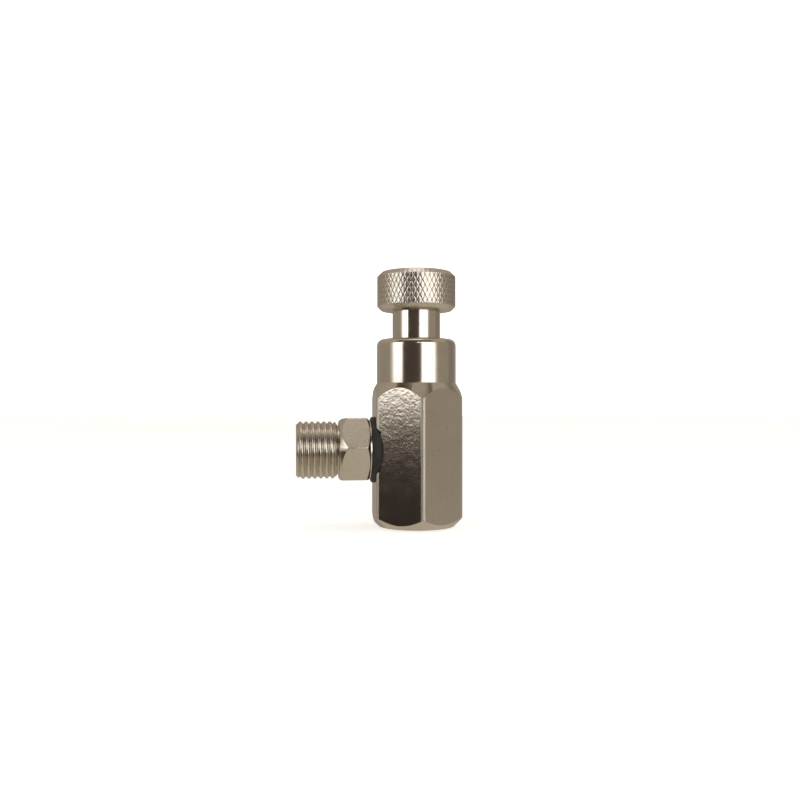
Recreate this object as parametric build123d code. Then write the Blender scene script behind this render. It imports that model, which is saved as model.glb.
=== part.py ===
from build123d import *
import math
import os

# Angle needle valve, turned and milled from brass bar. The origin is the centre of the bottom
# face, where the female inlet port opens. +Z runs up the stem axis to the knob, and the outlet
# nipple points along -X. The spindle is drawn three turns open.

# ---- driving dimensions, millimetres ----
BODY_AF = 20.64            # hexagon bar, 13/16 inch across flats
BODY_CORNER_R = 0.8        # rounding along the six long edges
BASE_FACE_R = 9.0          # flat ring the valve stands on
BASE_CHAMFER_Z = 3.4       # height to which the 45 degree base chamfer reaches
SHOULDER_Z = 34.8          # hexagon shoulder meets the round bonnet
SHOULDER_SLOPE = 60.0      # degrees from horizontal
BONNET_R = 9.6
BONNET_TOP_Z = 45.4
BONNET_FILLET_R = 1.8
PORT_Z = 18.7              # height of the outlet axis

THREAD_PITCH = 1.411       # 18 threads to the inch
THREAD_DEPTH = 0.8
NIPPLE_THREAD_R = 6.86     # 1/4 inch taper pipe thread at its large end, major radius
INLET_MINOR_R = 6.1        # 1/4 inch straight pipe thread, minor radius
INLET_DEPTH = 11.5
INLET_MOUTH_R = 6.55

SEAT_POCKET_R = 4.6
SEAT_TOP_Z = 15.3
CHAMBER_R = 4.0
SPINDLE_THREAD_R = 4.85    # M10 x 1 drawn as a plain running fit
SPINDLE_THREAD_Z = (22.8, 31.6)
FLANGE_BORE_R = 6.8
PACKING_BORE_R = 7.2
PACKING_Z = (38.6, 42.6)
GLAND_R = 7.6

SPOTFACE_R = 8.0
SPOTFACE_DEPTH = 1.0
SPIGOT_R = 4.55            # nipple thread inside the body
SPIGOT_END_X = 5.3
PASSAGE_R = 3.0
NIPPLE_TIP_X = 29.1
NIPPLE_HEX_X = (11.2, 18.9)
NIPPLE_AF = 14.7
NIPPLE_HEX_TURN = 6.0      # degrees the nipple hexagon stands off square
NIPPLE_BORE_R = 3.9
NIPPLE_BORE_END_X = 12.0

NECK_R = 5.8
SPIGOT_TOP_R = 4.0         # two-flat end of the spindle, inside the knob
SPIGOT_FLATS = 6.6
SPIGOT_TOP_Z = 57.8
KNOB_R = 9.525
KNOB_Z = (52.35, 61.7)
KNOB_TOP_CHAMFER = 1.15
KNOB_BOTTOM_CHAMFER = 1.0
CLEARANCE = 0.05           # radial running clearance

NEEDLE_R = 2.2
NEEDLE_TIP_R = 0.4
NEEDLE_HALF_ANGLE = 20.0   # degrees
NEEDLE_TIP_Z = 14.5        # with the valve three turns open
ORIFICE_R = 1.6
ORIFICE_EDGE_Z = 14.6
BALL_R = 1.5


def turned(points):
    """Solid of revolution about +Z through the (radius, height) points, in order."""
    outline = Polyline([(radius, 0, height) for radius, height in points], close=True)
    return revolve(make_face(outline), Axis.Z)


def cylinder(radius, low, high):
    """Upright cylinder on the stem axis between two heights."""
    height = high - low
    return Pos(0, 0, low) * Cylinder(radius, height, align=(Align.CENTER, Align.CENTER, Align.MIN))


def ring(inner, outer, low, high):
    """Flat ring on the stem axis."""
    return cylinder(outer, low, high) - cylinder(inner, low - 1, high + 1)


def o_ring(inner, section_r, height):
    """Rubber ring of round section whose middle lies at the given height."""
    return Pos(0, 0, height) * Torus(inner + section_r, section_r)


def hexagon_bar(across_flats, low, high, corner_r):
    """Hexagon bar along +Z with flats facing -X and +X and rounded long edges."""
    corner = across_flats / math.sqrt(3)
    outline = Pos(0, 0, low) * RegularPolygon(corner, 6, rotation=30)
    outline = fillet(outline.vertices(), corner_r)
    return extrude(outline, amount=high - low)


def thread_rings(crest_r, depth, start, count):
    """Ring-shaped V grooves, one per thread; a negative depth cuts outwards into a bore."""
    bottom = 0.06 * THREAD_PITCH
    half_width = abs(depth) * math.tan(math.radians(30)) + bottom
    sign = math.copysign(1, depth)
    cuts = []
    for index in range(count):
        middle = start + index * THREAD_PITCH
        cuts.append(turned([
            (crest_r - depth, middle - bottom),
            (crest_r, middle - half_width),
            (crest_r + sign, middle - half_width),
            (crest_r + sign, middle + half_width),
            (crest_r, middle + half_width),
            (crest_r - depth, middle + bottom),
        ]))
    return cuts


def along_outlet(shape):
    """Turn a shape made along +Z so that it points along -X from the stem axis."""
    return Pos(0, 0, PORT_Z) * Rot(0, -90, 0) * shape


def valve_body():
    """Hexagon body with its turned shoulder, bonnet, inlet port, chamber and stem bores."""
    corner = BODY_AF / math.sqrt(3)
    shoulder_low = SHOULDER_Z - (corner + 1 - BONNET_R) * math.tan(math.radians(SHOULDER_SLOPE))
    blank = hexagon_bar(BODY_AF, 0, BONNET_TOP_Z, BODY_CORNER_R)
    envelope = turned([
        (0, 0),
        (BASE_FACE_R, 0),
        (BASE_FACE_R + BASE_CHAMFER_Z, BASE_CHAMFER_Z),
        (corner + 1, BASE_CHAMFER_Z),
        (corner + 1, shoulder_low),
        (BONNET_R, SHOULDER_Z),
        (BONNET_R, BONNET_TOP_Z),
        (0, BONNET_TOP_Z),
    ])
    body = blank & envelope
    body = fillet(body.edges().group_by(Axis.Z)[-1], BONNET_FILLET_R)

    inlet = turned([
        (0, -1),
        (INLET_MOUTH_R + 1, -1),
        (INLET_MINOR_R, INLET_MOUTH_R - INLET_MINOR_R),
        (INLET_MINOR_R, INLET_DEPTH),
        (0, INLET_DEPTH),
    ])
    stem_bore = turned([
        (0, INLET_DEPTH - 1),
        (SEAT_POCKET_R, INLET_DEPTH - 1),
        (SEAT_POCKET_R, SEAT_TOP_Z),
        (CHAMBER_R, SEAT_TOP_Z),
        (CHAMBER_R, SPINDLE_THREAD_Z[0]),
        (SPINDLE_THREAD_R + CLEARANCE, SPINDLE_THREAD_Z[0]),
        (SPINDLE_THREAD_R + CLEARANCE, SPINDLE_THREAD_Z[1]),
        (FLANGE_BORE_R, SPINDLE_THREAD_Z[1]),
        (FLANGE_BORE_R, PACKING_Z[0]),
        (PACKING_BORE_R, PACKING_Z[0]),
        (PACKING_BORE_R, PACKING_Z[1]),
        (GLAND_R, PACKING_Z[1]),
        (GLAND_R, BONNET_TOP_Z + 1),
        (0, BONNET_TOP_Z + 1),
    ])
    face_x = BODY_AF / 2
    outlet = turned([
        (0, 0),
        (PASSAGE_R, 0),
        (PASSAGE_R, SPIGOT_END_X - 0.1),
        (SPIGOT_R + CLEARANCE, SPIGOT_END_X - 0.1),
        (SPIGOT_R + CLEARANCE, face_x - SPOTFACE_DEPTH),
        (SPOTFACE_R, face_x - SPOTFACE_DEPTH),
        (SPOTFACE_R, face_x + 3),
        (0, face_x + 3),
    ])
    body = body - inlet - stem_bore - along_outlet(outlet)
    first_groove = INLET_MOUTH_R - INLET_MINOR_R + THREAD_PITCH
    groove_count = int((INLET_DEPTH - first_groove - THREAD_PITCH) / THREAD_PITCH) + 1
    for groove in thread_rings(INLET_MINOR_R, -THREAD_DEPTH, first_groove, groove_count):
        body -= groove
    return body


def seat_insert():
    """Pressed-in seat with a conical lip that the needle closes on, and a seal groove."""
    outer_r = SEAT_POCKET_R - 0.02
    groove_r = 3.44
    lip_r = ORIFICE_R + (SEAT_TOP_Z - ORIFICE_EDGE_Z) * math.tan(math.radians(NEEDLE_HALF_ANGLE))
    return turned([
        (ORIFICE_R + 0.9, INLET_DEPTH),
        (outer_r, INLET_DEPTH),
        (outer_r, 12.8),
        (groove_r, 12.8),
        (groove_r, 14.2),
        (outer_r, 14.2),
        (outer_r, SEAT_TOP_Z),
        (lip_r, SEAT_TOP_Z),
        (ORIFICE_R, ORIFICE_EDGE_Z),
        (ORIFICE_R, INLET_DEPTH + 0.9),
    ])


def outlet_nipple():
    """Male pipe nipple with its hexagon and the short thread that enters the body."""
    hex_low, hex_high = NIPPLE_HEX_X
    corner = NIPPLE_AF / math.sqrt(3)
    washer_face_r = 7.15
    washer_face_end = 11.7
    outer_face_r = 6.9
    outer_slope = 1.2
    hexagon = Rot(0, 0, NIPPLE_HEX_TURN) * hexagon_bar(NIPPLE_AF, hex_low, hex_high, 0.4)
    hexagon &= turned([
        (0, hex_low),
        (washer_face_r, hex_low),
        (washer_face_r, washer_face_end),
        (corner + 0.5, washer_face_end + 0.6 * (corner + 0.5 - washer_face_r)),
        (corner + 0.5, hex_high - outer_slope * (corner + 0.5 - outer_face_r)),
        (outer_face_r, hex_high),
        (0, hex_high),
    ])
    relief_end = hex_high + 0.7
    stem = turned([
        (0, SPIGOT_END_X),
        (SPIGOT_R - 0.4, SPIGOT_END_X),
        (SPIGOT_R, SPIGOT_END_X + 0.4),
        (SPIGOT_R, hex_low + 1),
        (5.9, hex_low + 1),
        (5.9, relief_end),
        (NIPPLE_THREAD_R, relief_end),
        (NIPPLE_THREAD_R, NIPPLE_TIP_X - 0.8),
        (NIPPLE_THREAD_R - 0.8, NIPPLE_TIP_X),
        (0, NIPPLE_TIP_X),
    ])
    bore = turned([
        (0, 0),
        (PASSAGE_R, 0),
        (PASSAGE_R, NIPPLE_BORE_END_X - NIPPLE_BORE_R + PASSAGE_R),
        (NIPPLE_BORE_R, NIPPLE_BORE_END_X),
        (NIPPLE_BORE_R, NIPPLE_TIP_X - 0.5),
        (NIPPLE_BORE_R + 1, NIPPLE_TIP_X + 0.5),
        (0, NIPPLE_TIP_X + 0.5),
    ])
    nipple = hexagon + stem - bore
    first_groove = relief_end + 0.95
    groove_count = int((NIPPLE_TIP_X - 0.8 - first_groove) / THREAD_PITCH) + 1
    for groove in thread_rings(NIPPLE_THREAD_R, THREAD_DEPTH, first_groove, groove_count):
        nipple -= groove
    return along_outlet(nipple)


def nipple_seal_ring():
    """Thick rubber ring clamped between the spotface and the nipple's hexagon."""
    floor_x = BODY_AF / 2 - SPOTFACE_DEPTH
    return along_outlet(ring(SPIGOT_R + CLEARANCE, SPOTFACE_R - 0.1, floor_x, NIPPLE_HEX_X[0]))


def spindle():
    """Screwed spindle with needle socket, blow-out flange, polished neck and knob spigot."""
    neck = turned([
        (0, 24.1),
        (3.0, 24.1),
        (3.4, 24.5),
        (3.4, 26.1),
        (SPINDLE_THREAD_R - 0.4, 26.1),
        (SPINDLE_THREAD_R, 26.5),
        (SPINDLE_THREAD_R, 34.9),
        (6.4, 34.9),
        (6.4, 36.3),
        (NECK_R, 36.3),
        (NECK_R, KNOB_Z[0]),
        (0, KNOB_Z[0]),
    ])
    socket = turned([
        (0, 23),
        (NEEDLE_R + 0.1, 23),
        (NEEDLE_R + 0.1, 25.0),
        (2.7, 25.0),
        (2.7, 25.7),
        (NEEDLE_R + 0.1, 25.7),
        (NEEDLE_R + 0.1, 29.65),
        (0, 29.65),
    ])
    screw_hole = cylinder(1.5, 49.5, 59)
    spigot_core = Pos(0, 0, KNOB_Z[0] + 5) * Box(12, SPIGOT_FLATS, 10)
    spigot = cylinder(SPIGOT_TOP_R, KNOB_Z[0] - 0.5, SPIGOT_TOP_Z) & spigot_core
    return neck + spigot - socket - screw_hole


def needle():
    """Swivel needle: a tapered tip on a shank held in the spindle's socket by a clip."""
    cone_top = NEEDLE_TIP_Z + (NEEDLE_R - NEEDLE_TIP_R) / math.tan(math.radians(NEEDLE_HALF_ANGLE))
    shank = turned([
        (0, NEEDLE_TIP_Z),
        (NEEDLE_TIP_R, NEEDLE_TIP_Z),
        (NEEDLE_R, cone_top),
        (NEEDLE_R, 24.85),
        (1.75, 24.85),
        (1.75, 25.85),
        (NEEDLE_R, 25.85),
        (NEEDLE_R, 27.6),
        (0, 27.6),
    ])
    return shank - Pos(0, 0, 28.1) * Sphere(BALL_R + 0.02)


def thrust_ball():
    """Hardened ball that lets the spindle turn while the needle only rises and falls."""
    return Pos(0, 0, 28.1) * Sphere(BALL_R)


def needle_clip():
    """Open spring-wire ring in the socket's groove that holds the needle in the spindle."""
    return ring(1.85, 2.68, 25.1, 25.6) - Pos(2, 0, 25.35) * Box(4, 1.2, 2)


def gland_nut():
    """Screwed gland with two spanner slots and a groove for the wiper."""
    nut = turned([
        (NECK_R + 0.1, PACKING_Z[1]),
        (GLAND_R - 0.02, PACKING_Z[1]),
        (GLAND_R - 0.02, 44.8),
        (GLAND_R - 0.32, 45.1),
        (NECK_R + 0.1, 45.1),
        (NECK_R + 0.1, 44.3),
        (6.6, 44.3),
        (6.6, 43.5),
        (NECK_R + 0.1, 43.5),
    ])
    for side in (-1, 1):
        nut -= Pos(side * 7.3, 0, 45) * Box(1.6, 1.4, 1.6)
    return nut


def knob():
    """Round knob with a two-flat bore for the spindle and a recess for its screw."""
    low, high = KNOB_Z
    web = (SPIGOT_TOP_Z + 0.1, 59.0)
    blank = turned([
        (0, low),
        (KNOB_R - KNOB_BOTTOM_CHAMFER, low),
        (KNOB_R, low + KNOB_BOTTOM_CHAMFER),
        (KNOB_R, high - KNOB_TOP_CHAMFER),
        (KNOB_R - KNOB_TOP_CHAMFER, high),
        (0, high),
    ])
    two_flat = cylinder(SPIGOT_TOP_R + CLEARANCE, low - 1, web[0])
    two_flat &= Box(12, SPIGOT_FLATS + 2 * CLEARANCE, 200)
    recess = turned([
        (0, web[1]),
        (4.2, web[1]),
        (4.2, high - 0.3),
        (5.2, high + 0.7),
        (0, high + 0.7),
    ])
    return blank - two_flat - cylinder(1.7, web[0] - 1, web[1] + 1) - recess


def knob_lock_washer():
    """Split spring washer under the knob screw."""
    return ring(1.75, 3.3, 59.0, 59.6) - Pos(2.5, 0, 59.3) * Rot(25, 0, 0) * Box(3, 0.5, 3)


def knob_screw():
    """Socket-head screw that holds the knob on the spindle."""
    head = turned([
        (0, 50.5),
        (1.1, 50.5),
        (1.45, 50.85),
        (1.45, 59.6),
        (2.75, 59.6),
        (2.75, 61.1),
        (2.45, 61.4),
        (0, 61.4),
    ])
    socket = Pos(0, 0, 60.1) * extrude(RegularPolygon(1.44, 6), amount=2)
    return head - socket


os.makedirs("parts", exist_ok=True)
SUBPARTS = {
    "valve_body": valve_body(),
    "seat_insert": seat_insert(),
    "seat_o_ring": o_ring(3.45, 0.56, 13.5),
    "outlet_nipple": outlet_nipple(),
    "nipple_seal_ring": nipple_seal_ring(),
    "spindle": spindle(),
    "needle": needle(),
    "thrust_ball": thrust_ball(),
    "needle_clip": needle_clip(),
    "packing_washer": ring(NECK_R + 0.1, PACKING_BORE_R - CLEARANCE, 38.6, 39.3),
    "spindle_o_ring_lower": o_ring(NECK_R + CLEARANCE, 0.64, 39.95),
    "backup_ring": ring(NECK_R + 0.08, PACKING_BORE_R - CLEARANCE, 40.6, 41.3),
    "spindle_o_ring_upper": o_ring(NECK_R + CLEARANCE, 0.64, 41.95),
    "gland_nut": gland_nut(),
    "wiper_ring": ring(NECK_R + CLEARANCE, 6.58, 43.52, 44.28),
    "knob": knob(),
    "knob_lock_washer": knob_lock_washer(),
    "knob_screw": knob_screw(),
}
for name, solid in SUBPARTS.items():
    export_step(solid, f"parts/{name}.step")
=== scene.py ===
"""Looks of an angle needle valve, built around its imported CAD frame.

Every piece is a numpy surface in the frame's own coordinates. Shapes are worked out in millimetres
and written to the meshes in metres.
"""

import logging
import math
from collections.abc import Callable, Sequence
from dataclasses import dataclass, field
from enum import Enum

import bmesh
import bpy
import numpy as np
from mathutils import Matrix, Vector


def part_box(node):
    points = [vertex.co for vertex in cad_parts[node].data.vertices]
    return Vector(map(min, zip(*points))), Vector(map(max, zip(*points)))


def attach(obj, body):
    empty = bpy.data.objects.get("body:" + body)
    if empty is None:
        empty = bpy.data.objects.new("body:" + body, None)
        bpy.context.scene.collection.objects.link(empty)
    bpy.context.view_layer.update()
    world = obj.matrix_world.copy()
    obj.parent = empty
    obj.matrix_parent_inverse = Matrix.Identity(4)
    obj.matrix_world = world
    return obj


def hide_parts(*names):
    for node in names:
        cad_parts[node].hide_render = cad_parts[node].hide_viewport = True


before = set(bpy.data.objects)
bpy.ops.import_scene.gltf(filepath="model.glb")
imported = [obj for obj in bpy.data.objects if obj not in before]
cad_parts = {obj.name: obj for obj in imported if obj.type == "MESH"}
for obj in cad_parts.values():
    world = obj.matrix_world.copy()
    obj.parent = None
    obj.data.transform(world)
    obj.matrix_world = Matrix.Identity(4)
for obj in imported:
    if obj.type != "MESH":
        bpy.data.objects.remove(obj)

MM = 0.001
TURN = 2 * math.pi
WELD_DISTANCE = 1e-7
SHARP_ANGLE = math.radians(34)

Array = np.ndarray
Colour = tuple[float, float, float]
log = logging.getLogger("needle_valve")


class Body(Enum):
    """The CAD bodies that the pieces ride on."""

    VALVE = "valve"
    NEEDLE = "needle_slide"
    SPINDLE = "spindle_turn"


class Line(Enum):
    """The two axes that the pieces are turned about."""

    STEM = "stem"
    OUTLET = "outlet"


@dataclass(frozen=True)
class Extent:
    """Lowest and highest corner of a CAD node, in millimetres."""

    low: Array
    high: Array

    @classmethod
    def of(cls, node: str) -> "Extent":
        """Extent of one CAD node at rest."""
        low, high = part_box(node)
        return cls(np.array(low) / MM, np.array(high) / MM)

    @property
    def middle(self) -> Array:
        """Centre of the box."""
        return (self.low + self.high) / 2


PORT_Z = float(Extent.of("nipple_seal_ring").middle[2])


# ---- outlines and surfaces ----


@dataclass(frozen=True)
class Corner:
    """One corner of a turned outline, and the surface that runs from it to the next corner.

    Radius and height may be numbers or arrays with a value for each column.
    """

    radius: float | Array
    height: float | Array
    rounding: float = 0.0
    turned: float = 1.0
    # hollow sets how dark the metal finish paints the surface: dirt and painted shade in grooves and recesses.
    hollow: float = 0.0


@dataclass
class Rows:
    """Rows of points round an axis, with two marks for the finish.

    turned is 1 on turned metal and 0 on the flats of the bar. hollow is 0 on open metal and 1 at
    the bottom of a groove; where it is high, the metal finishes paint dirt and shade darker.
    """

    radius: Array
    height: Array
    turned: Array
    hollow: Array

    def reversed(self) -> "Rows":
        """The same rows in the opposite order."""
        return Rows(self.radius[::-1], self.height[::-1], self.turned[::-1], self.hollow[::-1])


def stacked(*parts: Rows) -> Rows:
    """The rows of several parts, one after another."""
    names = ("radius", "height", "turned", "hollow")
    return Rows(*(np.concatenate([getattr(part, name) for part in parts]) for name in names))


def ring_angles(count: int) -> Array:
    """Angles of evenly spaced columns, with the first repeated one turn later."""
    return np.linspace(0.0, TURN, count + 1)


def hexagon_angles(apothem: float, rounding: float, arc: int, flat: int, turn: float = 0.0) -> Array:
    """Column angles for a hexagon: close together round each edge, even along each flat.

    Args:
        apothem: distance from the axis to a flat.
        rounding: radius of the long edges.
        arc: columns round each edge.
        flat: columns along each flat.
        turn: angle by which the whole hexagon is turned, in radians.

    Returns:
        The angles, with the first repeated one turn later.
    """
    half_arc = edge_half_angle(apothem, rounding)
    side = TURN / 6
    around_edge = np.linspace(-half_arc, half_arc, arc + 1)[:-1]
    along_flat = np.linspace(half_arc, side - half_arc, flat + 1)[:-1]
    one = np.concatenate([around_edge, along_flat]) + side / 2
    angles = (one[None, :] + side * np.arange(6)[:, None]).ravel() + turn
    return np.append(angles, angles[0] + TURN)


def edge_half_angle(apothem: float, rounding: float) -> float:
    """Half the angle that a hexagon's rounded edge takes up, seen from the axis."""
    return math.pi / 6 - math.atan((apothem - rounding) * math.tan(math.pi / 6) / apothem)


def hexagon_radius(angles: Array, apothem: float, rounding: float, turn: float = 0.0) -> Array:
    """Distance from the axis to a hexagon with rounded edges and a flat facing angle zero.

    On a flat the radius is apothem / cos(angle from the flat's middle). Near an edge it is the far
    side of a circle of the rounding's radius whose centre lies on the line to the edge:
    c cos d + sqrt(rounding^2 - c^2 sin^2 d), for d the angle from the edge.
    """
    side = TURN / 6
    from_flat = np.mod(angles - turn + side / 2, side) - side / 2
    from_edge = side / 2 - np.abs(from_flat)
    centre = (apothem - rounding) / math.cos(side / 2)
    under_root = np.maximum(rounding**2 - (centre * np.sin(from_edge)) ** 2, 0.0)
    round_edge = centre * np.cos(from_edge) + np.sqrt(under_root)
    near_edge = from_edge < edge_half_angle(apothem, rounding)
    return np.where(near_edge, round_edge, apothem / np.cos(from_flat))


def two_flat_radius(angles: Array, radius: float, across: float) -> Array:
    """Radius of a round bar with two flats that face +Y and -Y."""
    return np.minimum(radius, across / 2 / np.maximum(np.abs(np.sin(angles)), 1e-6))


def outline_rows(corners: Sequence[Corner], columns: int, steps: int = 4) -> Rows:
    """Rows along an outline whose corners are rounded by arcs.

    Each arc touches both sides of its corner. Its points are
    centre + (sin((1 - t) sweep) first + sin(t sweep) last) / sin(sweep), for t from 0 to 1.

    Args:
        corners: the outline, in order; it is treated as closed.
        columns: number of columns round the axis.
        steps: divisions of each arc.

    Returns:
        steps + 1 rows for each corner.
    """
    points = np.array(
        [[np.broadcast_to(c.radius, columns), np.broadcast_to(c.height, columns)] for c in corners]
    )
    rounding = np.array([c.rounding for c in corners])[:, None]
    back = np.roll(points, 1, axis=0) - points
    ahead = np.roll(points, -1, axis=0) - points
    back_length = np.maximum(np.linalg.norm(back, axis=1), 1e-9)
    ahead_length = np.maximum(np.linalg.norm(ahead, axis=1), 1e-9)
    back = back / back_length[:, None]
    ahead = ahead / ahead_length[:, None]
    half = np.arccos(np.clip((back * ahead).sum(axis=1), -1, 1)) / 2
    half = np.clip(half, 0.01, math.pi / 2 - 0.001)
    reach = np.minimum(rounding / np.tan(half), 0.75 * np.minimum(back_length, ahead_length))
    reach = np.where(rounding > 0, reach, 0.0)
    bisector = back + ahead
    bisector = bisector / np.maximum(np.linalg.norm(bisector, axis=1), 1e-9)[:, None]
    centre = points + bisector * (reach / np.cos(half))[:, None]
    first = points + back * reach[:, None] - centre
    last = points + ahead * reach[:, None] - centre
    sweep = (math.pi - 2 * half)[:, None, None, :]
    share = np.linspace(0, 1, steps + 1)[None, :, None, None]
    arcs = np.sin((1 - share) * sweep) * first[:, None] + np.sin(share * sweep) * last[:, None]
    placed = (centre[:, None] + arcs / np.sin(sweep)).reshape(-1, 2, columns)

    def along(values: list[float]) -> Array:
        after = np.array(values)
        before = np.roll(after, 1)
        late = np.arange(steps + 1) * 2 > steps
        rows = np.where(late[None, :], after[:, None], before[:, None]).ravel()
        return np.repeat(rows[:, None], columns, axis=1)

    return Rows(
        placed[:, 0],
        placed[:, 1],
        along([c.turned for c in corners]),
        along([c.hollow for c in corners]),
    )


@dataclass(frozen=True)
class Thread:
    """A right-hand screw thread with plated-over, rounded flanks, between two heights."""

    pitch: float
    depth: float
    low: float
    high: float
    samples: int = 16

    def heights(self, angles: Array) -> Array:
        """Rows that climb one pitch in a turn, held between two plain end rings."""
        first = self.low - self.pitch
        count = math.ceil((self.high - first) / self.pitch * self.samples) + 1
        level = first + np.arange(count)[:, None] * self.pitch / self.samples
        return np.clip(level + self.climb(angles)[None, :], self.low, self.high)

    def climb(self, angles: Array) -> Array:
        """Height that the thread has gained at each column."""
        return self.pitch * (angles - angles[0]) / TURN

    def groove(self, heights: Array, angles: Array) -> Array:
        """How deep the groove is: ((1 - cos phase) / 2) ^ 1.3, 0 on the crest and 1 at the root."""
        phase = TURN * (heights - self.climb(angles)[None, :]) / self.pitch
        return (0.5 - 0.5 * np.cos(phase)) ** 1.3


def constant_rows(radius: Array, height: Array, turned: float, hollow: Array | float) -> Rows:
    """Rows from two arrays, with one mark for turned metal."""
    full = np.ones_like(radius)
    return Rows(radius, height, full * turned, full * hollow)


def on_stem(points: Array) -> Array:
    """Leaves points made about +Z where they are."""
    return points


def on_outlet(points: Array) -> Array:
    """Turns points made about +Z so that the axis runs along -X at the port's height."""
    x, y, z = points.T
    return np.stack([-z, y, x + PORT_Z], axis=1)


@dataclass
class Sweep:
    """How far a piece's outline is carried round its axis.

    An open ring keeps a gap, and its ends slope by lean radians for each millimetre of height.
    """

    angles: Array
    open_ring: bool = False
    lean: float = 0.0


def build_mesh(name: str, rows: Rows, sweep: Sweep, place: Callable[[Array], Array]) -> bpy.types.Object:
    """Makes one closed mesh from rows of points round an axis.

    A point is (radius cos angle, radius sin angle, height). Neighbouring rows and columns are
    joined by quads, the last row is joined to the first, and points that coincide are welded.

    Args:
        name: name of the new object.
        rows: radius and height of each point, row by row.
        sweep: angles of the columns.
        place: moves the points from the +Z axis to where the piece belongs.

    Returns:
        The object, at the origin and unscaled.
    """
    count, columns = rows.radius.shape
    angles = sweep.angles[None, :] + sweep.lean * (rows.height - rows.height.mean())
    points = np.stack([rows.radius * np.cos(angles), rows.radius * np.sin(angles), rows.height], -1)
    points = place(points.reshape(-1, 3)) * MM
    index = np.arange(count * columns).reshape(count, columns)
    looped = np.vstack([index, index[:1]])
    corners = (looped[:-1, :-1], looped[:-1, 1:], looped[1:, 1:], looped[1:, :-1])
    quads = np.stack(corners, axis=-1).reshape(-1, 4)
    mesh = bpy.data.meshes.new(name)
    mesh.vertices.add(len(points))
    mesh.vertices.foreach_set("co", points.astype(np.float32).ravel())
    mesh.loops.add(quads.size)
    mesh.loops.foreach_set("vertex_index", quads.astype(np.int32).ravel())
    mesh.polygons.add(len(quads))
    mesh.polygons.foreach_set("loop_start", np.arange(0, quads.size, 4, dtype=np.int32))
    mesh.update(calc_edges=True)
    for mark in ("turned", "hollow"):
        values = getattr(rows, mark).astype(np.float32).ravel()
        mesh.attributes.new(mark, "FLOAT", "POINT").data.foreach_set("value", values)
    weld(mesh, [index[:, 0], index[:, -1]] if sweep.open_ring else [])
    piece = bpy.data.objects.new(name, mesh)
    bpy.context.scene.collection.objects.link(piece)
    return piece


def weld(mesh: bpy.types.Mesh, caps: list[Array]) -> None:
    """Closes an open ring's ends, welds coinciding points and turns every face outwards."""
    work = bmesh.new()
    work.from_mesh(mesh)
    work.verts.ensure_lookup_table()
    for cap in caps:
        work.faces.new([work.verts[int(i)] for i in cap])
    bmesh.ops.remove_doubles(work, verts=work.verts, dist=WELD_DISTANCE)
    bmesh.ops.dissolve_degenerate(work, edges=work.edges, dist=WELD_DISTANCE)
    bare = [edge for edge in work.edges if not edge.link_faces]
    bmesh.ops.delete(work, geom=bare, context="EDGES")
    bmesh.ops.recalc_face_normals(work, faces=work.faces)
    if work.calc_volume(signed=True) < 0:
        bmesh.ops.reverse_faces(work, faces=work.faces)
    work.to_mesh(mesh)
    work.free()


def carve(piece: bpy.types.Object, cutter: bpy.types.Object) -> None:
    """Cuts the cutter's shape out of a piece, and removes the cutter."""
    cut = piece.modifiers.new("cut", "BOOLEAN")
    cut.operation = "DIFFERENCE"
    cut.solver = "EXACT"
    cut.object = cutter
    graph = bpy.context.evaluated_depsgraph_get()
    carved = bpy.data.meshes.new_from_object(piece.evaluated_get(graph))
    piece.modifiers.clear()
    spare = piece.data
    piece.data = carved
    bpy.data.meshes.remove(spare)
    bpy.data.objects.remove(cutter)


def block(name: str, middle: Colour, size: Colour) -> bpy.types.Object:
    """A plain block, used only as a cutter.

    Its corners are middle + size / 2 times every choice of signs.
    """
    signs = np.array([(x, y, z) for x in (-1, 1) for y in (-1, 1) for z in (-1, 1)])
    points = (np.array(middle) + signs * np.array(size) / 2) * MM
    faces = [(0, 1, 3, 2), (4, 6, 7, 5), (0, 4, 5, 1), (2, 3, 7, 6), (0, 2, 6, 4), (1, 5, 7, 3)]
    mesh = bpy.data.meshes.new(name)
    mesh.from_pydata(points.tolist(), [], faces)
    piece = bpy.data.objects.new(name, mesh)
    bpy.context.scene.collection.objects.link(piece)
    return piece


# ---- finishes ----


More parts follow.
